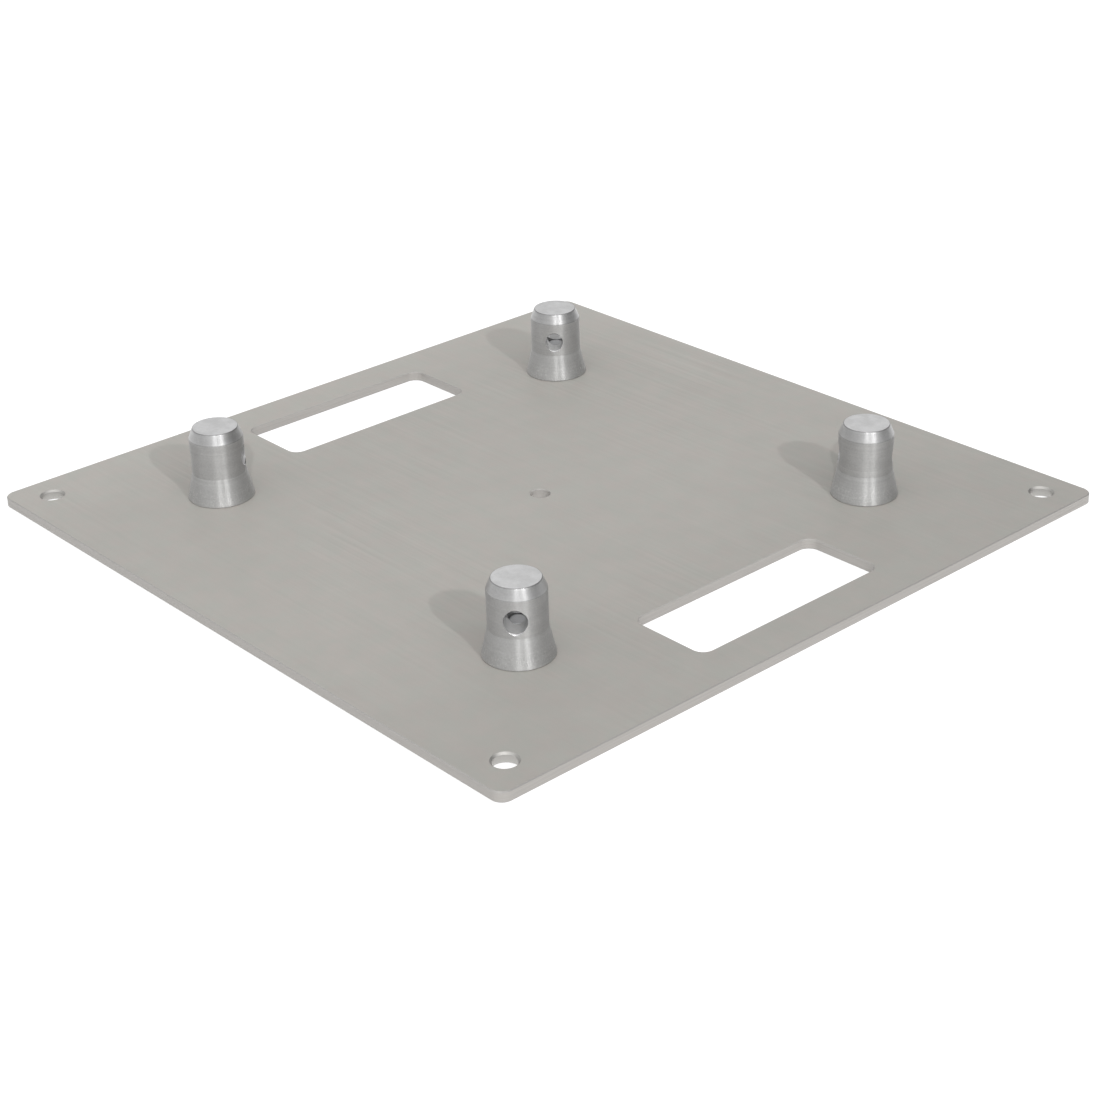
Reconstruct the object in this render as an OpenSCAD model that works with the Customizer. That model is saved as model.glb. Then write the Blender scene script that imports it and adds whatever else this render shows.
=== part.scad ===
// Base plate for a square box truss: a square aluminium plate with two hand slots, four corner holes and a
// centre hole, and four turned spigots that the truss's main tubes slide over. Each spigot has a tapered
// cross hole for a locking pin and is held by one countersunk socket screw from below.
// Origin: centre of the plate's underside. X and Y run along the plate's sides, Z up.

/* [Plate] */
// Side of the square plate
plate_side = 406.4; // [360:0.1:460]
// Thickness of the plate
plate_t = 5.5; // [5.5:0.1:12]
// Radius of the plate's corners
plate_corner_r = 6.35; // [2:0.05:12]
// Bevel along the plate's top and bottom edges
plate_bevel = 0.5; // [0.1:0.1:1.5]

/* [Hand slots] */
// Width of a hand slot
slot_w = 46; // [30:1:60]
// Length of a hand slot
slot_l = 122; // [90:1:150]
// Radius of a hand slot's corners
slot_corner_r = 6; // [3:0.5:15]
// Strip of plate left between a hand slot and the plate's edge
slot_margin = 23.4; // [15:0.1:40]
// Bevel round both mouths of a hand slot
slot_bevel = 0.4; // [0.1:0.1:1.5]

/* [Fixing holes] */
// Diameter of the corner holes
corner_hole_d = 11.5; // [6:0.1:14]
// Distance from a corner hole's axis to the two nearest edges
corner_hole_inset = 19.2; // [12:0.1:30]
// Chamfer at both ends of a corner hole
corner_hole_chamfer = 1; // [0.2:0.1:2]
// Diameter of the centre hole
centre_hole_d = 10.4; // [4:0.1:30]
// Chamfer at both ends of the centre hole
centre_hole_chamfer = 0.4; // [0.1:0.1:2]

/* [Spigots] */
// Distance between the axes of neighbouring spigots, the truss's own tube spacing
spigot_spacing = 239; // [180:1:300]
// Height of a spigot above the plate
spigot_h = 39.5; // [36:0.1:60]
// Diameter of the conical foot where it is widest
foot_d = 35; // [31:0.1:45]
// Height of the conical foot
foot_h = 15; // [8:0.1:16.5]
// Chamfer under the foot's rim
foot_chamfer = 0.5; // [0.1:0.1:1]
// Diameter of the straight barrel
barrel_d = 28.5; // [26:0.1:30]
// Diameter of the flat top
nose_d = 23.8; // [15:0.1:25.5]
// Height of the conical nose
nose_h = 5.6; // [3:0.1:8]

/* [Pin holes] */
// Height of the pin hole's axis above the plate
pin_h = 23.2; // [22:0.1:26]
// Diameter of the pin hole's straight end, which faces the centre of the plate
pin_d = 10.2; // [9.9:0.1:11.3]
// Diameter of the pin hole's wide end, which faces the corner of the plate
pin_mouth_d = 11.5; // [10.4:0.1:11.8]
// Taper of the pin hole: its diameter grows by 1 mm over this length
pin_taper = 16; // [10:0.5:18]
// How far the deburring cut widens a mouth of the pin hole, all round
pin_deburr = 0.6; // [0.1:0.1:0.8]

/* [Screws] */
// Thread diameter of the screws
screw_d = 10; // [6:1:10]
// Length of a screw, from the flat of its head to its tip, which ends just short of the pin hole
screw_l = 23; // [18:0.5:26]
// Diameter of the countersunk head, whose cone is 90 degrees
head_d = 20; // [16:0.5:20.5]
// Height of the short straight rim of the head
head_rim = 0.3; // [0.1:0.1:0.5]
// How far the head lies above the plate's underside
head_recess = 0.4; // [0.1:0.1:0.6]
// Width across flats of the hexagon socket
socket_af = 6; // [4:0.5:8]
// Depth of the hexagon socket
socket_depth = 3.6; // [2:0.1:4]
// Chamfer at the tip of the screw
tip_chamfer = 0.9; // [0.3:0.1:1.5]
// Gap between the screw's shank and its hole in the plate, on each side
shank_clearance = 0.5; // [0.2:0.05:0.6]
// Gap between the screw and the tapped hole in the spigot, on each side
thread_clearance = 0.05; // [0.02:0.01:0.1]
// Chamfer at the mouth of the tapped hole
tapped_chamfer = 1; // [0.2:0.1:1.5]

/* [Hidden] */
$fn = 96;
// Overrun of cutters past the faces that they cut
over = 1;

plate_colour = [0.66, 0.65, 0.63];
spigot_colour = [0.78, 0.78, 0.78];
screw_colour = [0.55, 0.56, 0.58];

// Place of a hand slot's centre line, measured in from the plate's edge
slot_x = plate_side / 2 - slot_margin - slot_w / 2;
corner_hole_xy = plate_side / 2 - corner_hole_inset;
spigot_xy = spigot_spacing / 2;

// The plate's countersink is the cone of the screw's head, carried on down to the underside
head_cone_h = (head_d - screw_d) / 2;
countersink_r = head_d / 2 + head_rim + head_recess;
clearance_r = screw_d / 2 + shank_clearance;

// The tapped hole's mouth also clears the head's cone, should that reach above the plate
tapped_r = screw_d / 2 + thread_clearance;
tapped_mouth_r = max(tapped_r + tapped_chamfer, countersink_r - plate_t + shank_clearance);

// The pin hole runs straight from its narrow mouth and then opens as a cone to its wide one
barrel_r = barrel_d / 2;
pin_cone_l = (pin_mouth_d - pin_d) * pin_taper;

// Wall sections as [offset outwards, height] pairs, from the bottom up: a solid with bevelled edges, and a
// cutter that leaves bevelled mouths
function solid_wall(bevel) = [[-bevel, 0], [0, bevel], [0, plate_t - bevel], [-bevel, plate_t]];
function cutter_wall(bevel) = [
    [bevel + over, -over],
    [0, bevel],
    [0, plate_t - bevel],
    [bevel + over, plate_t + over]
];

// A slab along the Y axis whose two long sides follow a wall section
module slab(half_width, length, wall) {
    rotate([90, 0, 0])
        linear_extrude(height = length, center = true)
            polygon(concat(
                [for (p = wall) [half_width + p[0], p[1]]],
                [for (i = [len(wall) - 1:-1:0]) [-half_width - wall[i][0], wall[i][1]]]
            ));
}

// A turned post whose side follows a wall section
module turned_post(r, wall) {
    rotate_extrude()
        polygon(concat(
            [[0, wall[0][1]]],
            [for (p = wall) [r + p[0], p[1]]],
            [[0, wall[len(wall) - 1][1]]]
        ));
}

// A block with round corners whose side follows a wall section: two crossed slabs and a post at each corner
module rounded_block(x, y, r, wall) {
    slab(x / 2, y - 2 * r, wall);
    rotate([0, 0, 90])
        slab(y / 2, x - 2 * r, wall);
    for (sx = [-1, 1], sy = [-1, 1])
        translate([sx * (x / 2 - r), sy * (y / 2 - r), 0])
            turned_post(r, wall);
}

// Cutter for a hole through the plate with a chamfer at both ends
module chamfered_hole(d, chamfer) {
    turned_post(d / 2, cutter_wall(chamfer));
}

// Cutter for a screw's hole: the countersink from below and the shank's clearance above it
module screw_hole() {
    translate([0, 0, -over])
        cylinder(h = plate_t + 2 * over, r = clearance_r);
    translate([0, 0, -over])
        cylinder(h = countersink_r - clearance_r + over, r1 = countersink_r + over, r2 = clearance_r);
}

module plate() {
    color(plate_colour)
        difference() {
            rounded_block(plate_side, plate_side, plate_corner_r, solid_wall(plate_bevel));
            for (sx = [-1, 1]) {
                translate([sx * slot_x, 0, 0])
                    rounded_block(slot_w, slot_l, slot_corner_r, cutter_wall(slot_bevel));
                for (sy = [-1, 1]) {
                    translate([sx * corner_hole_xy, sy * corner_hole_xy, 0])
                        chamfered_hole(corner_hole_d, corner_hole_chamfer);
                    translate([sx * spigot_xy, sy * spigot_xy, 0])
                        screw_hole();
                }
            }
            chamfered_hole(centre_hole_d, centre_hole_chamfer);
        }
}

// The turned outside of a spigot: conical foot, straight barrel, conical nose and flat top
module spigot_blank() {
    rotate_extrude()
        polygon([
            [0, 0],
            [foot_d / 2 - foot_chamfer, 0],
            [foot_d / 2, foot_chamfer],
            [barrel_r, foot_h],
            [barrel_r, spigot_h - nose_h],
            [nose_d / 2, spigot_h],
            [0, spigot_h]
        ]);
}

// Cutter for the pin hole along X, wide end towards +X
module pin_hole() {
    rotate([0, 90, 0]) {
        translate([0, 0, -barrel_r - over])
            cylinder(h = 2 * (barrel_r + over), d = pin_d);
        translate([0, 0, barrel_r - pin_cone_l])
            cylinder(h = pin_cone_l, d1 = pin_d, d2 = pin_mouth_d);
        translate([0, 0, barrel_r])
            cylinder(h = over, d = pin_mouth_d);
        pin_mouth(pin_mouth_d);
        mirror([0, 0, 1])
            pin_mouth(pin_d);
    }
}

// The deburring cut at a mouth: a 90 degree cone that ends at the barrel's outermost line
module pin_mouth(d) {
    translate([0, 0, barrel_r - pin_deburr])
        cylinder(h = pin_deburr + over, r1 = d / 2, r2 = d / 2 + pin_deburr + over);
}

// Cutter for the tapped hole, from below up into the pin hole, with a 90 degree chamfer at its mouth
module tapped_hole() {
    translate([0, 0, -over])
        cylinder(h = pin_h + over, r = tapped_r);
    translate([0, 0, -over])
        cylinder(h = tapped_mouth_r - tapped_r + over, r1 = tapped_mouth_r + over, r2 = tapped_r);
}

// Places what stands on a spigot's axis, turned so that +X points along the diagonal to the plate's corner
module at_corner(sx, sy, z) {
    translate([sx * spigot_xy, sy * spigot_xy, z])
        rotate([0, 0, atan2(sy, sx)])
            children();
}

module spigot(sx, sy) {
    color(spigot_colour)
        at_corner(sx, sy, plate_t)
            difference() {
                spigot_blank();
                tapped_hole();
                translate([0, 0, pin_h])
                    pin_hole();
            }
}

// A countersunk screw with a hexagon socket, head down, its cone seated in the plate's countersink
module screw(sx, sy) {
    color(screw_colour)
        at_corner(sx, sy, head_recess)
            difference() {
                rotate_extrude()
                    polygon([
                        [0, 0],
                        [head_d / 2, 0],
                        [head_d / 2, head_rim],
                        [screw_d / 2, head_rim + head_cone_h],
                        [screw_d / 2, screw_l - tip_chamfer],
                        [screw_d / 2 - tip_chamfer, screw_l],
                        [0, screw_l]
                    ]);
                translate([0, 0, -over])
                    cylinder(h = socket_depth + over, r = socket_af / 2 / cos(30), $fn = 6);
            }
}

plate();
spigot(-1, -1);  // spigot_front_left
spigot(1, -1);  // spigot_front_right
spigot(-1, 1);  // spigot_back_left
spigot(1, 1);  // spigot_back_right
screw(-1, -1);  // screw_front_left
screw(1, -1);  // screw_front_right
screw(-1, 1);  // screw_back_left
screw(1, 1);  // screw_back_right
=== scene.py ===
import math

import bpy
from mathutils import Matrix, Vector


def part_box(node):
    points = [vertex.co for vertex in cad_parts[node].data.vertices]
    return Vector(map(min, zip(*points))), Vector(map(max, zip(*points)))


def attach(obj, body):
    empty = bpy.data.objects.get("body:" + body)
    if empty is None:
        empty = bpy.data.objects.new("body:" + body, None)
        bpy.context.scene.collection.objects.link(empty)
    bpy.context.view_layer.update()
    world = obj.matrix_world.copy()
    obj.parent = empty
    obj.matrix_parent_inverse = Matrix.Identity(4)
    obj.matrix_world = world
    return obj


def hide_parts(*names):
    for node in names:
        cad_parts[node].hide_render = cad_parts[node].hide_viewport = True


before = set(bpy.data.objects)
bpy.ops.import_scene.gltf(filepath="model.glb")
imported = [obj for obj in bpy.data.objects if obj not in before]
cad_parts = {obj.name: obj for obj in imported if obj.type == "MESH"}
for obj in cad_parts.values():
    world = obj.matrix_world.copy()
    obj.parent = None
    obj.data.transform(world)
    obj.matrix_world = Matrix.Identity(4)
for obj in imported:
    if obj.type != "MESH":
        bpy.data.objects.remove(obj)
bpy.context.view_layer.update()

MM = 0.001

# Camera, solved from the plate's edges, slots, holes and spigots in the photograph
CAMERA_PLACE = Vector((0.79763, -0.69058, 0.50886))
CAMERA_HEADING = math.radians(48.889)
CAMERA_TILT = math.radians(-26.972)
CAMERA_ROLL = math.radians(-1.858)
CAMERA_LENS = 72.80
CAMERA_SENSOR = 36.0

# Sizes read from the frame
PLATE_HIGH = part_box("plate")[1]
PLATE_EDGE = PLATE_HIGH.x
PLATE_TOP = PLATE_HIGH.z
SPIGOT_LOW, SPIGOT_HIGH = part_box("spigot_back_right")
SPIGOT_PLACE = (SPIGOT_LOW.x + SPIGOT_HIGH.x) / 2
SPIGOT_H = SPIGOT_HIGH.z - SPIGOT_LOW.z
FOOT_R = (SPIGOT_HIGH.x - SPIGOT_LOW.x) / 2
SCREW_LOW, SCREW_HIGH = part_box("screw_back_right")

# Plate, as in the part's source; the rim is where a corner hole's chamfer ends
CORNER_HOLE_PLACE = 184.0 * MM
CORNER_HOLE_RIM = 6.75 * MM

# Spigot, as in the part's source; the pin hole's cone starts at this place along its axis
FOOT_H = 15.0 * MM
FOOT_CHAMFER = 0.5 * MM
BARREL_R = 14.25 * MM
NOSE_H = 5.6 * MM
NOSE_R = 11.9 * MM
PIN_H = 23.2 * MM
PIN_R = 5.1 * MM
PIN_CONE_START = -6.55 * MM
PIN_MOUTH_R = 5.75 * MM
PIN_DEBURR = 0.6 * MM
TAPPED_R = 5.05 * MM
TAPPED_CHAMFER = 1.0 * MM

# Heights on a spigot, above the plate's underside
FOOT_TOP = PLATE_TOP + FOOT_H
SPIGOT_TOP = PLATE_TOP + SPIGOT_H
NOSE_START = SPIGOT_TOP - NOSE_H
PIN_AXIS = PLATE_TOP + PIN_H

# The outer half of the pin hole's deburring cut is flatter than 45 degrees: its radius grows by this much for
# each metre along the hole. The cut's edges are rounded.
MOUTH_SLOPE = 1.4
MOUTH_ROUNDING = 0.3 * MM
BORE_ROUNDING = 0.1 * MM

# Screw, as in the part's source
HEAD_R = 10.0 * MM
HEAD_RIM = 0.3 * MM
SHANK_R = 5.0 * MM
TIP_CHAMFER = 0.9 * MM
SOCKET_R = 3.0 * MM / math.cos(math.radians(30))
SOCKET_DEPTH = 3.6 * MM

# The thread, which the source leaves out
THREAD_PITCH = 1.5 * MM
THREAD_ROOT_R = 4.1 * MM
THREAD_STEPS = 48
THREAD_START = PLATE_TOP - 0.5 * MM
THREAD_END = SCREW_HIGH.z
PLAIN_SHANK = 0.4 * MM
CORE_CHAMFER = 0.3 * MM

# Its ridge, as (radius, half height): a sleeve trims the crest, and the root is sunk in the screw's core
RIDGE_CREST = (SHANK_R + 0.1 * MM, 0.05 * MM)
RIDGE_ROOT = (THREAD_ROOT_R - 0.15 * MM, 0.72 * MM)

CORNERS = {
    "front_left": (-1, -1),
    "front_right": (1, -1),
    "back_left": (-1, 1),
    "back_right": (1, 1),
}

# Meshes: steps in a rounded corner's arc, points that count as one, and the edges that are shaded sharp
ARC_STEPS = 4
SAME_POINT = 0.002 * MM
SHARP_ANGLE = math.radians(25)

# Colours
MILL_WARM = (0.424, 0.400, 0.375)
MILL_COOL = (0.409, 0.404, 0.376)
SAWN_DARK = (0.36, 0.342, 0.322)
SAWN_PALE = (0.52, 0.50, 0.477)
# Painted shade on the plate's bevels: darker than its face, and darker still on the bevels that face along X
# at its edges
SLOT_BEVEL_SHADE = (0.37, 0.36, 0.345)
OUTER_BEVEL_SHADE = (0.30, 0.29, 0.28)
DRILLED_GREY = (0.47, 0.46, 0.44)
FOOT_GREY = (0.54, 0.54, 0.535)
BARREL_GREY = (0.555, 0.552, 0.545)
NOSE_GREY = (0.49, 0.49, 0.49)
FACED_DARK = (0.70, 0.70, 0.70)
FACED_PALE = (0.80, 0.80, 0.805)
DEBURRED_DARK = (0.40, 0.40, 0.40)
DEBURRED_PALE = (0.50, 0.50, 0.50)
BORED_DARK = (0.62, 0.62, 0.62)
BORED_PALE = (0.72, 0.72, 0.72)
ZINC_DARK = (0.56, 0.565, 0.58)
ZINC_PALE = (0.68, 0.685, 0.70)
WHITE = (1, 1, 1, 1)

# Lamps: turn from +X and elevation in degrees, then the power in watts of the small lamp that gives light and
# shadows, and the size and power of the larger one at the same place that gives glints alone
LAMPS = {
    "key": (-12, 32.5, 34, 0.42, 18),
    "fill": (-41.3, 35, 33, 0.52, 14),
}
LAMP_DISTANCE = 3.4
SHADOW_LAMP_SIZE = 0.08

# Studio round the object, in shares of white; turns are in degrees from +X
STUDIO_LEVEL = 0.87
WALL_LEVEL = 0.64
DIM_CORNER_TURN = 56
DIM_CORNER_DEPTH = 0.60
CEILING_LEVEL = 0.6
BRIGHT_CEILING_TURN = -45
BRIGHT_CEILING_GAIN = 1.35

# Floor, just below the plate; it glows only where it is seen
FLOOR_R = 12
FLOOR_PLACE = -0.2 * MM
FLOOR_GREY = (0.35, 0.35, 0.35, 1)
FLOOR_GLOW = 0.8

# Sockets of a Mix node that mixes colours
MIX_FACTOR, MIX_FIRST, MIX_SECOND = 0, 6, 7
MIX_RESULT = 2


def spread(turn, elevation, distance):
    """A point round the plate's centre, turn in degrees from +X and elevation in degrees."""
    a, e = math.radians(turn), math.radians(elevation)
    return Vector((math.cos(a) * math.cos(e), math.sin(a) * math.cos(e), math.sin(e))) * distance


class Value:
    """An output of a node, which can be used in sums as a number is."""

    def __init__(self, finish, socket):
        self.finish = finish
        self.socket = socket

    def math(self, operation, *others):
        """This value with others through a Math node."""
        values = [self, *others]
        return self.finish.node("ShaderNodeMath", {"operation": operation}, dict(enumerate(values)))

    def __add__(self, other):
        return self.math("ADD", other)

    def __sub__(self, other):
        return self.math("SUBTRACT", other)

    def __mul__(self, other):
        return self.math("MULTIPLY", other)

    def __rsub__(self, other):
        return self.finish.node("ShaderNodeMath", {"operation": "SUBTRACT"}, {0: other, 1: self})

    __radd__ = __add__
    __rmul__ = __mul__

    def step(self, low, high):
        """0 below low, 1 above high, smooth between; low may be the larger of the two."""
        return self.finish.node(
            "ShaderNodeMapRange",
            {"interpolation_type": "SMOOTHSTEP"},
            {"Value": self, "From Min": low, "From Max": high, "To Min": 0.0, "To Max": 1.0},
        )

    def swing(self, low, high):
        """A value from 0 to 1 spread out from low to high."""
        return self * (high - low) + low

    def about(self, depth):
        """A value from 0 to 1 as a swing of depth each way about 0."""
        return self.swing(-depth, depth)


class Finish:
    """The nodes of a material or of the world."""

    def __init__(self, tree):
        self.tree = tree
        tree.nodes.clear()

    def node(self, kind, settings=None, inputs=None, output=0):
        """Adds a node, applies its settings, sets or links its sockets and returns one output."""
        made = self.tree.nodes.new(kind)
        for name, value in (settings or {}).items():
            setattr(made, name, value)
        for name, value in (inputs or {}).items():
            if isinstance(value, Value):
                self.tree.links.new(value.socket, made.inputs[name])
            else:
                made.inputs[name].default_value = value
        return Value(self, made.outputs[output]) if len(made.outputs) else None

    def split(self, vector):
        """The x, y and z of a vector."""
        parts = self.tree.nodes.new("ShaderNodeSeparateXYZ")
        self.tree.links.new(vector.socket, parts.inputs[0])
        return [Value(self, out) for out in parts.outputs]

    def axes(self):
        """The x, y and z of the point on the object, in metres."""
        return self.split(self.node("ShaderNodeTexCoord", output="Object"))

    def facing(self):
        """How far the face looks along X, Y and Z, 1 straight along and 0 across, without the sign."""
        normal = self.node("ShaderNodeNewGeometry", output="True Normal")
        return [part.math("ABSOLUTE") for part in self.split(normal)]

    def noise(self, scale, detail=3.0, rough=0.5, stretch=(1, 1, 1), shift=(0, 0, 0)):
        """Cloudy noise from 0 to 1; scale is in clouds for each metre."""
        at = self.node("ShaderNodeTexCoord", output="Object")
        scales = tuple(part * scale for part in stretch)
        at = self.node("ShaderNodeMapping", None, {"Vector": at, "Scale": scales, "Location": shift})
        shape = {"Vector": at, "Scale": 1.0, "Detail": detail, "Roughness": rough}
        return self.node("ShaderNodeTexNoise", None, shape)

    def mix(self, factor, first, second):
        """A colour between two colours."""
        made = self.tree.nodes.new("ShaderNodeMix")
        made.data_type = "RGBA"
        for place, value in ((MIX_FACTOR, factor), (MIX_FIRST, first), (MIX_SECOND, second)):
            socket = made.inputs[place]
            if isinstance(value, Value):
                self.tree.links.new(value.socket, socket)
            elif isinstance(value, tuple):
                socket.default_value = (*value, 1.0)
            else:
                socket.default_value = value
        return Value(self, made.outputs[MIX_RESULT])

    def shaded(self, colour, shade):
        """A colour made lighter or darker by a share, 0 for no change."""
        return self.node("ShaderNodeVectorMath", {"operation": "SCALE"}, {0: colour, "Scale": shade + 1.0})

    def bump(self, height, depth):
        """A normal bent by a height from 0 to 1 that stands depth metres tall."""
        return self.node("ShaderNodeBump", None, {"Height": height, "Strength": 1.0, "Distance": depth})


def metal(name, paint, metallic=1.0, anisotropy=0.0, anisotropy_turn=0.0):
    """A metal with colour, roughness and normal from paint(finish); metallic is a number or a function."""
    material = bpy.data.materials.new(name)
    material.use_nodes = True
    finish = Finish(material.node_tree)
    colour, roughness, normal = paint(finish)
    shader = finish.node(
        "ShaderNodeBsdfPrincipled",
        None,
        {
            "Base Color": colour,
            "Metallic": metallic(finish) if callable(metallic) else metallic,
            "Roughness": roughness,
            "Normal": normal,
            "Anisotropic": anisotropy,
            "Anisotropic Rotation": anisotropy_turn,
        },
    )
    finish.node("ShaderNodeOutputMaterial", None, {"Surface": shader})
    return material


def drilled(finish):
    """1 in the corner holes, 0 elsewhere."""
    across, along, _ = finish.axes()
    from_x = across.math("ABSOLUTE") - CORNER_HOLE_PLACE
    from_y = along.math("ABSOLUTE") - CORNER_HOLE_PLACE
    from_hole = (from_x * from_x + from_y * from_y).math("SQRT")
    return from_hole.step(CORNER_HOLE_RIM, CORNER_HOLE_RIM - 0.05 * MM)


def plate_metallic(finish):
    """Low where the plate's skin is dull, high in the corner holes, which show bare metal."""
    return drilled(finish).swing(0.15, 0.75)


def plate_paint(finish):
    """Clouded mill finish on the faces, sawn walls with fine lines along them, and drilled corner holes."""
    sideways, _, up = finish.facing()
    across, along, _ = finish.axes()
    face = up.step(0.85, 0.95)
    bevel = up.step(0.45, 0.55) * up.step(0.9, 0.8)
    near_edge = across.math("ABSOLUTE").step(PLATE_EDGE - 3.2 * MM, PLATE_EDGE - 1.2 * MM)
    outer = sideways.step(0.3, 0.6) * near_edge

    clouds = finish.noise(14, detail=4, rough=0.55)
    blotches = finish.noise(60, detail=3, rough=0.6, shift=(3.1, 1.7, 0.4))
    tint = finish.noise(110, detail=2, rough=0.6, shift=(1.3, 8.2, 2.0)).step(0.3, 0.7)
    saw = finish.noise(1.0, detail=3, rough=0.6, stretch=(20, 20, 1800))

    # Rolling streaks along X, in patches, weaker on the plate's right
    streaks = finish.noise(1.0, detail=4, rough=0.65, stretch=(6, 420, 6))
    patches = finish.noise(9, detail=2, rough=0.5, shift=(7.3, 2.2, 5.0)).step(0.42, 0.65)
    brushed = (streaks - 0.5) * patches.swing(0.08, 0.30) * across.step(0.20, 0.02).swing(0.4, 1.0)

    # Painted light and shade: the plate a little paler at its left edge and back left corner, darker to its
    # right
    left = across.step(-0.12, -0.22) * 0.09
    back_left = across.step(0.0, -0.12) * along.step(0.13, 0.21) * 0.05
    right = across.step(0.0, 0.2) * 0.12
    shade = left + back_left - right + clouds.about(0.02) + blotches.about(0.05) + brushed

    face_colour = finish.shaded(finish.mix(tint, MILL_WARM, MILL_COOL), shade)
    colour = finish.mix(face, finish.mix(saw, SAWN_DARK, SAWN_PALE), face_colour)
    # Painted shade: the bevels darker than the face, darkest where they face along X near the plate's edges
    colour = finish.mix(bevel, colour, finish.mix(outer, SLOT_BEVEL_SHADE, OUTER_BEVEL_SHADE))
    colour = finish.mix(drilled(finish), colour, DRILLED_GREY)
    roughness = face * 0.14 + blotches.swing(0.34, 0.42)
    lift = face * streaks * 0.3 + (1.0 - face) * saw
    return colour, roughness, finish.bump(lift, 0.04 * MM)


def lathe_shade(finish):
    """A turned side's lines, its specks, and the shade that both give with broader rings and faint stains."""
    lines = finish.noise(1.0, detail=3, rough=0.7, stretch=(15, 15, 2600))
    rings = finish.noise(1.0, detail=2, rough=0.6, stretch=(4, 4, 900))
    specks = finish.noise(1100, detail=2, rough=0.6)
    stains = finish.noise(160, detail=3, rough=0.5)
    return lines, specks, lines.about(0.10) + rings.about(0.10) + specks.about(0.14) + stains.about(0.10)


def turned_paint(finish):
    """A spigot's foot and barrel, fine turned; the barrel duller, the foot's lower half grainy with painted
    glints.
    """
    lines, specks, shade = lathe_shade(finish)
    height = finish.axes()[2] - PLATE_TOP
    barrel = height.step(FOOT_H - 0.1 * MM, FOOT_H + 0.1 * MM)
    # Painted shade: a thin darker line in the crease where the foot meets the barrel
    seam_shade = (height - FOOT_H).math("ABSOLUTE").step(0.35 * MM, 0.05 * MM)
    grains = finish.noise(1000, detail=1, rough=0.5, shift=(4.0, 1.0, 2.0)).step(0.5, 0.75)
    # The foot's lower half is grainy: bumped, smoother specks whose colour is painted lighter as painted
    # glints
    grain_and_glints = height.step(11 * MM, 5 * MM) * grains
    colour = finish.mix(barrel, FOOT_GREY, BARREL_GREY)
    colour = finish.shaded(colour, shade - seam_shade * 0.08 + grain_and_glints * 0.12)
    roughness = lines.swing(0.44, 0.54) + barrel * 0.12 - grain_and_glints * 0.22
    lift = lines + specks * 0.5 + grain_and_glints * 0.8
    return colour, roughness, finish.bump(lift, 0.02 * MM)


def nose_paint(finish):
    """A spigot's nose, turned smoother than the rest, with a darker line round both of its edges."""
    lines, specks, shade = lathe_shade(finish)
    height = finish.axes()[2] - SPIGOT_TOP
    upper_edge = height.step(-0.55 * MM, -0.15 * MM)
    lower_edge = height.step(-NOSE_H + 0.45 * MM, -NOSE_H + 0.1 * MM)
    colour = finish.shaded(NOSE_GREY, shade - (upper_edge + lower_edge) * 0.3)
    return colour, lines.swing(0.36, 0.44), finish.bump(lines + specks * 0.5, 0.01 * MM)


def faced_paint(finish):
    """A spigot's flat top: matte and pale, with faint stains."""
    specks = finish.noise(1100, detail=2, rough=0.6)
    stains = finish.noise(170, detail=4, rough=0.6, shift=(2.0, 5.0, 1.0)).step(0.3, 0.7)
    colour = finish.shaded(finish.mix(stains, FACED_DARK, FACED_PALE), specks.about(0.05))
    return colour, stains.swing(0.44, 0.54), finish.bump(specks, 0.01 * MM)


def deburred_paint(finish):
    """The bright cut round a mouth of the pin hole."""
    specks = finish.noise(900, detail=2, rough=0.6)
    colour = finish.mix(specks, DEBURRED_DARK, DEBURRED_PALE)
    return colour, specks.swing(0.20, 0.28), finish.bump(specks, 0.01 * MM)


def bored_paint(finish):
    """The drilled insides of a spigot: paler and less metallic than its outside."""
    specks = finish.noise(900, detail=3, rough=0.6)
    stains = finish.noise(250, detail=3, rough=0.5)
    colour = finish.shaded(finish.mix(stains, BORED_DARK, BORED_PALE), specks.about(0.1))
    return colour, specks.swing(0.30, 0.42), finish.bump(specks, 0.02 * MM)


def screw_paint(finish):
    """Zinc plated steel, bright with a fine bloom."""
    bloom = finish.noise(400, detail=3, rough=0.6)
    colour = finish.mix(bloom, ZINC_DARK, ZINC_PALE)
    return colour, bloom.swing(0.30, 0.42), finish.bump(bloom, 0.01 * MM)


PLATE_METAL = metal("plate_mill_finish", plate_paint, metallic=plate_metallic)
TURNED_METAL = metal("spigot_turned", turned_paint, metallic=0.8, anisotropy=0.95, anisotropy_turn=0.25)
NOSE_METAL = metal("spigot_nose", nose_paint, metallic=0.95, anisotropy=0.6, anisotropy_turn=0.25)
FACED_METAL = metal("spigot_faced", faced_paint, metallic=0.7)
DEBURRED_METAL = metal("spigot_deburred", deburred_paint)
BORED_METAL = metal("spigot_bored", bored_paint, metallic=0.6)
SCREW_METAL = metal("screw_zinc", screw_paint, metallic=0.7)
SPIGOT_METALS = (TURNED_METAL, BORED_METAL, NOSE_METAL, FACED_METAL, DEBURRED_METAL)


def soften(outline):
    """Points of an outline given as (radius, height, rounding), with each rounded corner drawn as an arc."""
    corners = [Vector((radius, 0, height)) for radius, height, _ in outline]
    points = []
    for i, (_, _, rounding) in enumerate(outline):
        if not rounding:
            points.append(corners[i])
            continue
        before = (corners[i - 1] - corners[i]).normalized()
        after = (corners[i + 1] - corners[i]).normalized()
        half = before.angle(after) / 2
        centre = corners[i] + (before + after).normalized() * (rounding / math.sin(half))
        first = corners[i] + before * (rounding / math.tan(half)) - centre
        last = corners[i] + after * (rounding / math.tan(half)) - centre
        for k in range(ARC_STEPS + 1):
            arm = first.normalized().slerp(last.normalized(), k / ARC_STEPS)
            points.append(centre + arm * first.length)
    return points


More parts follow.
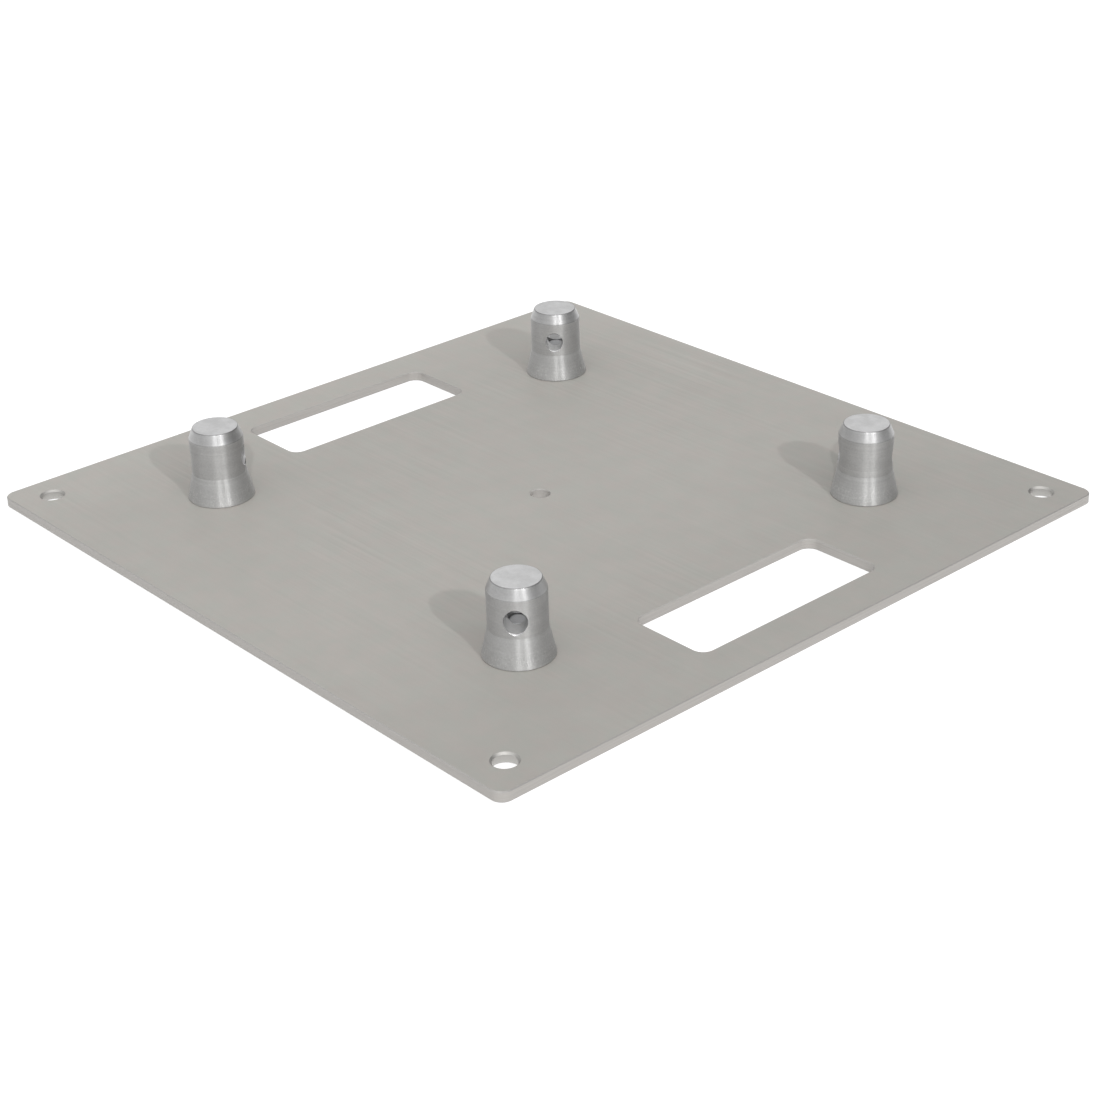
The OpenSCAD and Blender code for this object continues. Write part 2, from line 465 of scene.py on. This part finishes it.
def turned(name, outline, sides=96, longest=1.5 * MM):
    """A turned solid on the Z axis: a point is extruded along the outline, in steps, and spun round."""
    points = soften(outline)
    bpy.ops.object.select_all(action="DESELECT")
    bpy.ops.mesh.primitive_plane_add(size=MM, location=points[0])
    piece = bpy.context.object
    piece.name = name
    bpy.ops.object.transform_apply(location=True)
    bpy.ops.object.mode_set(mode="EDIT")
    bpy.ops.mesh.merge(type="CENTER")
    for here, there in zip(points, points[1:]):
        steps = max(1, math.ceil((there - here).length / longest))
        for _ in range(steps):
            bpy.ops.mesh.extrude_region_move(TRANSFORM_OT_translate={"value": (there - here) / steps})
    bpy.ops.mesh.select_all(action="SELECT")
    bpy.ops.mesh.spin(steps=sides, angle=2 * math.pi, center=(0, 0, 0), axis=(0, 0, 1))
    bpy.ops.mesh.select_all(action="SELECT")
    bpy.ops.mesh.remove_doubles(threshold=SAME_POINT)
    bpy.ops.mesh.normals_make_consistent(inside=False)
    bpy.ops.object.mode_set(mode="OBJECT")
    return piece


def pick(piece):
    """Selects the piece alone and makes it the active one."""
    bpy.ops.object.select_all(action="DESELECT")
    piece.select_set(True)
    bpy.context.view_layer.objects.active = piece


def apply(piece, modifier):
    """Applies a modifier to the piece's mesh."""
    pick(piece)
    bpy.ops.object.modifier_apply(modifier=modifier.name)


def join(piece, other, operation):
    """Cuts the other solid from the piece, adds it, or keeps what both share; the other is used up."""
    modifier = piece.modifiers.new("join", "BOOLEAN")
    modifier.operation = operation
    modifier.solver = "EXACT"
    modifier.object = other
    apply(piece, modifier)
    bpy.data.objects.remove(other)


def settle(piece, turn, place):
    """Turns the piece about the axes, then moves it, in its mesh."""
    pick(piece)
    piece.rotation_euler = turn
    piece.location = place
    bpy.ops.object.transform_apply(location=True, rotation=True, scale=True)


def make_tapped_cutter():
    """The tapped hole with its chamfered mouth, up into the pin hole."""
    below = PLATE_TOP - MM
    return turned(
        "tapped_hole",
        [
            (0, below, 0),
            (TAPPED_R + TAPPED_CHAMFER + MM, below, 0),
            (TAPPED_R, PLATE_TOP + TAPPED_CHAMFER, 0),
            (TAPPED_R, PIN_AXIS, 0),
            (0, PIN_AXIS, 0),
        ],
    )


def make_pin_cutter():
    """The pin hole through the barrel, its wide mouth towards +X."""
    end = BARREL_R + MM
    cut = PIN_DEBURR / 2
    flare = cut + (cut + MM) * MOUTH_SLOPE
    pin = turned(
        "pin_hole",
        [
            (0, -end, 0),
            (PIN_R + flare, -end, 0),
            (PIN_R + cut, cut - BARREL_R, MOUTH_ROUNDING),
            (PIN_R, PIN_DEBURR - BARREL_R, BORE_ROUNDING),
            (PIN_R, PIN_CONE_START, 0),
            (PIN_MOUTH_R, BARREL_R - PIN_DEBURR, BORE_ROUNDING),
            (PIN_MOUTH_R + cut, BARREL_R - cut, MOUTH_ROUNDING),
            (PIN_MOUTH_R + flare, end, 0),
            (0, end, 0),
        ],
        sides=128,
    )
    settle(pin, (0, math.pi / 2, 0), (0, 0, PIN_AXIS))
    return pin


def spigot_metal(face):
    """The metal that a face of the spigot shows, by its place and direction."""
    inwards = BARREL_R - face.center.xy.length
    from_pin = math.hypot(face.center.y, face.center.z - PIN_AXIS)
    on_top = face.normal.z > 0.99 and face.center.z > SPIGOT_TOP - 0.1 * MM
    in_pin_hole = from_pin < PIN_MOUTH_R + PIN_DEBURR + 0.2 * MM and inwards > 0.02 * MM
    at_mouth = inwards < PIN_DEBURR + 1.3 * MM and abs(face.normal.x) > 0.3
    if on_top:
        return FACED_METAL
    if face.center.z > NOSE_START:
        return NOSE_METAL
    if in_pin_hole:
        return DEBURRED_METAL if at_mouth else BORED_METAL
    return BORED_METAL if inwards > 0.35 * MM else TURNED_METAL


def make_spigot():
    """One spigot on the Z axis at its height, its wide pin mouth towards +X."""
    spigot = turned(
        "spigot",
        [
            (0, PLATE_TOP, 0),
            (FOOT_R - FOOT_CHAMFER, PLATE_TOP, 0.1 * MM),
            (FOOT_R, PLATE_TOP + FOOT_CHAMFER, 0.3 * MM),
            (BARREL_R, FOOT_TOP, 0.4 * MM),
            (BARREL_R, NOSE_START, 0.5 * MM),
            (NOSE_R, SPIGOT_TOP, 0.35 * MM),
            (0, SPIGOT_TOP, 0),
        ],
        sides=192,
        longest=1.2 * MM,
    )
    join(spigot, make_tapped_cutter(), "DIFFERENCE")
    join(spigot, make_pin_cutter(), "DIFFERENCE")
    spigot.data.materials.clear()
    for material in SPIGOT_METALS:
        spigot.data.materials.append(material)
    for face in spigot.data.polygons:
        face.material_index = SPIGOT_METALS.index(spigot_metal(face))
    return spigot


def make_thread():
    """A thread's ridge: a ring of four points carried up a helix and closed at both ends."""
    middle = (THREAD_ROOT_R + SHANK_R) / 2
    bpy.ops.object.select_all(action="DESELECT")
    bpy.ops.mesh.primitive_plane_add(
        size=MM, location=(middle, 0, THREAD_START), rotation=(math.pi / 2, 0, 0)
    )
    ridge = bpy.context.object
    ridge.name = "thread"
    bpy.ops.object.transform_apply(location=True, rotation=True)
    for point in ridge.data.vertices:
        radius, half_height = RIDGE_CREST if point.co.x > middle else RIDGE_ROOT
        side = 1 if point.co.z > THREAD_START else -1
        point.co.x = radius
        point.co.z = THREAD_START + half_height * side
    bpy.ops.object.mode_set(mode="EDIT")
    bpy.ops.mesh.select_all(action="SELECT")
    bpy.ops.mesh.delete(type="ONLY_FACE")
    bpy.ops.object.mode_set(mode="OBJECT")
    helix = ridge.modifiers.new("helix", "SCREW")
    helix.axis = "Z"
    helix.angle = 2 * math.pi
    helix.screw_offset = THREAD_PITCH
    helix.iterations = math.ceil((THREAD_END - PLATE_TOP) / THREAD_PITCH) + 1
    helix.steps = helix.render_steps = THREAD_STEPS
    helix.use_merge_vertices = True
    helix.merge_threshold = SAME_POINT / 2
    apply(ridge, helix)
    bpy.ops.object.mode_set(mode="EDIT")
    bpy.ops.mesh.select_all(action="SELECT")
    bpy.ops.mesh.fill_holes(sides=4)
    bpy.ops.mesh.select_all(action="SELECT")
    bpy.ops.mesh.normals_make_consistent(inside=False)
    bpy.ops.object.mode_set(mode="OBJECT")
    return ridge


def make_screw():
    """One countersunk screw on the Z axis, with a hexagon socket and a thread."""
    low, high = SCREW_LOW.z, SCREW_HIGH.z
    shank = low + HEAD_RIM + HEAD_R - SHANK_R
    neck = SHANK_R - THREAD_ROOT_R
    screw = turned(
        "screw",
        [
            (0, low, 0),
            (HEAD_R, low, 0.1 * MM),
            (HEAD_R, low + HEAD_RIM, 0.1 * MM),
            (SHANK_R, shank, 0),
            (SHANK_R, shank + PLAIN_SHANK, 0),
            (THREAD_ROOT_R, shank + PLAIN_SHANK + neck, 0),
            (THREAD_ROOT_R, high - CORE_CHAMFER, 0),
            (THREAD_ROOT_R - CORE_CHAMFER, high, 0),
            (0, high, 0),
        ],
        longest=3 * MM,
    )
    sleeve = turned(
        "sleeve",
        [
            (0, shank + PLAIN_SHANK + neck / 2, 0),
            (SHANK_R, shank + PLAIN_SHANK + neck / 2, 0),
            (SHANK_R, high - TIP_CHAMFER, 0),
            (SHANK_R - TIP_CHAMFER, high, 0),
            (0, high, 0),
        ],
        longest=3 * MM,
    )
    bpy.ops.object.select_all(action="DESELECT")
    bpy.ops.mesh.primitive_cylinder_add(
        vertices=6, radius=SOCKET_R, depth=2 * SOCKET_DEPTH, location=(0, 0, low)
    )
    socket = bpy.context.object
    bpy.ops.object.transform_apply(location=True)
    join(screw, socket, "DIFFERENCE")
    thread = make_thread()
    join(thread, sleeve, "INTERSECT")
    join(screw, thread, "UNION")
    screw.data.materials.clear()
    screw.data.materials.append(SCREW_METAL)
    return screw


def copy_round(model, kind):
    """Stands a copy of the model at each corner, turned to face it, in the place of the kind's CAD node."""
    for corner, (side_x, side_y) in CORNERS.items():
        piece = model.copy()
        piece.data = model.data.copy()
        bpy.context.scene.collection.objects.link(piece)
        piece.name = f"{kind}_{corner}_finished"
        turn = (0, 0, math.atan2(side_y, side_x))
        settle(piece, turn, (side_x * SPIGOT_PLACE, side_y * SPIGOT_PLACE, 0))
        bpy.ops.object.shade_smooth_by_angle(angle=SHARP_ANGLE)
        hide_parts(f"{kind}_{corner}")
        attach(piece, "root")
    bpy.data.objects.remove(model)


def make_camera():
    """The photograph's camera."""
    data = bpy.data.cameras.new("camera")
    data.lens = CAMERA_LENS
    data.sensor_width = CAMERA_SENSOR
    camera = bpy.data.objects.new("camera", data)
    bpy.context.scene.collection.objects.link(camera)
    turn = Matrix.Rotation(CAMERA_HEADING, 4, "Z")
    turn = turn @ Matrix.Rotation(math.pi / 2 + CAMERA_TILT, 4, "X")
    turn = turn @ Matrix.Rotation(CAMERA_ROLL, 4, "Z")
    camera.matrix_world = Matrix.Translation(CAMERA_PLACE) @ turn
    bpy.context.scene.camera = camera


def make_lamp(name, place, size, power, glints=False):
    """A square lamp that looks at the middle of the plate, for light and shadows or else for glints alone."""
    data = bpy.data.lights.new(name, "AREA")
    data.shape = "SQUARE"
    data.size = size
    data.energy = power
    lamp = bpy.data.objects.new(name, data)
    bpy.context.scene.collection.objects.link(lamp)
    lamp.location = place
    lamp.rotation_mode = "QUATERNION"
    lamp.rotation_quaternion = (-place).to_track_quat("-Z", "Y")
    lamp.visible_glossy = glints
    lamp.visible_diffuse = not glints


def rays(finish, *kinds):
    """1 for a ray of any of the kinds."""
    path = finish.tree.nodes.new("ShaderNodeLightPath")
    total, *others = [Value(finish, path.outputs[kind]) for kind in kinds]
    for other in others:
        total = total.math("MAXIMUM", other)
    return total


def towards(finish, direction, turn):
    """How far a direction leans towards a turn, in degrees from +X: 1 straight at it, -1 away from it."""
    inputs = {0: direction, 1: tuple(spread(turn, 0, 1.0))}
    return finish.node("ShaderNodeVectorMath", {"operation": "DOT_PRODUCT"}, inputs, output="Value")


def make_world():
    """The studio: white behind the object and, near the horizon, in reflections. Higher up, reflections and
    the light show walls with one dim corner and a ceiling that is brightest on the camera's side."""
    world = bpy.data.worlds.new("studio")
    bpy.context.scene.world = world
    world.use_nodes = True
    finish = Finish(world.node_tree)
    direction = finish.node("ShaderNodeTexCoord", output="Generated")
    up = finish.split(direction)[2]
    dim_corner = towards(finish, direction, DIM_CORNER_TURN).step(0.42, 0.98)
    bright_side = towards(finish, direction, BRIGHT_CEILING_TURN).step(-0.6, 1.0)
    walls = WALL_LEVEL - dim_corner * DIM_CORNER_DEPTH
    ceiling = bright_side * BRIGHT_CEILING_GAIN + CEILING_LEVEL
    around = (walls + up.step(0.45, 0.70) * (ceiling - walls)) * STUDIO_LEVEL
    mirrored = rays(finish, "Is Glossy Ray") * up.step(0.08, 0.0)
    behind = rays(finish, "Is Camera Ray", "Is Transmission Ray").math("MAXIMUM", mirrored)
    level = around + behind * (1.0 - around)
    background = finish.node("ShaderNodeBackground", None, {"Color": WHITE, "Strength": level})
    finish.node("ShaderNodeOutputWorld", None, {"Surface": background})


def make_floor():
    """A wide white floor that keeps a faint shadow."""
    bpy.ops.object.select_all(action="DESELECT")
    bpy.ops.mesh.primitive_circle_add(
        vertices=64, radius=FLOOR_R, fill_type="NGON", location=(0, 0, FLOOR_PLACE)
    )
    floor = bpy.context.object
    floor.name = "floor"
    material = bpy.data.materials.new("floor_white")
    material.use_nodes = True
    finish = Finish(material.node_tree)
    lit = finish.node("ShaderNodeBsdfDiffuse", None, {"Color": FLOOR_GREY})
    seen = rays(finish, "Is Camera Ray", "Is Glossy Ray", "Is Transmission Ray")
    glow = finish.node("ShaderNodeEmission", None, {"Color": WHITE, "Strength": seen * FLOOR_GLOW})
    both = finish.node("ShaderNodeAddShader", None, {0: lit, 1: glow})
    finish.node("ShaderNodeOutputMaterial", None, {"Surface": both})
    floor.data.materials.append(material)


plate_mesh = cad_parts["plate"].data
plate_mesh.materials.clear()
plate_mesh.materials.append(PLATE_METAL)
copy_round(make_spigot(), "spigot")
copy_round(make_screw(), "screw")

make_camera()
make_world()
make_floor()
for lamp_name, (lamp_turn, lamp_elevation, shadow_power, glints_size, glints_power) in LAMPS.items():
    lamp_place = spread(lamp_turn, lamp_elevation, LAMP_DISTANCE)
    make_lamp(lamp_name, lamp_place, SHADOW_LAMP_SIZE, shadow_power)
    make_lamp(f"{lamp_name}_glints", lamp_place, glints_size, glints_power, glints=True)
bpy.context.scene.view_settings.view_transform = "Standard"
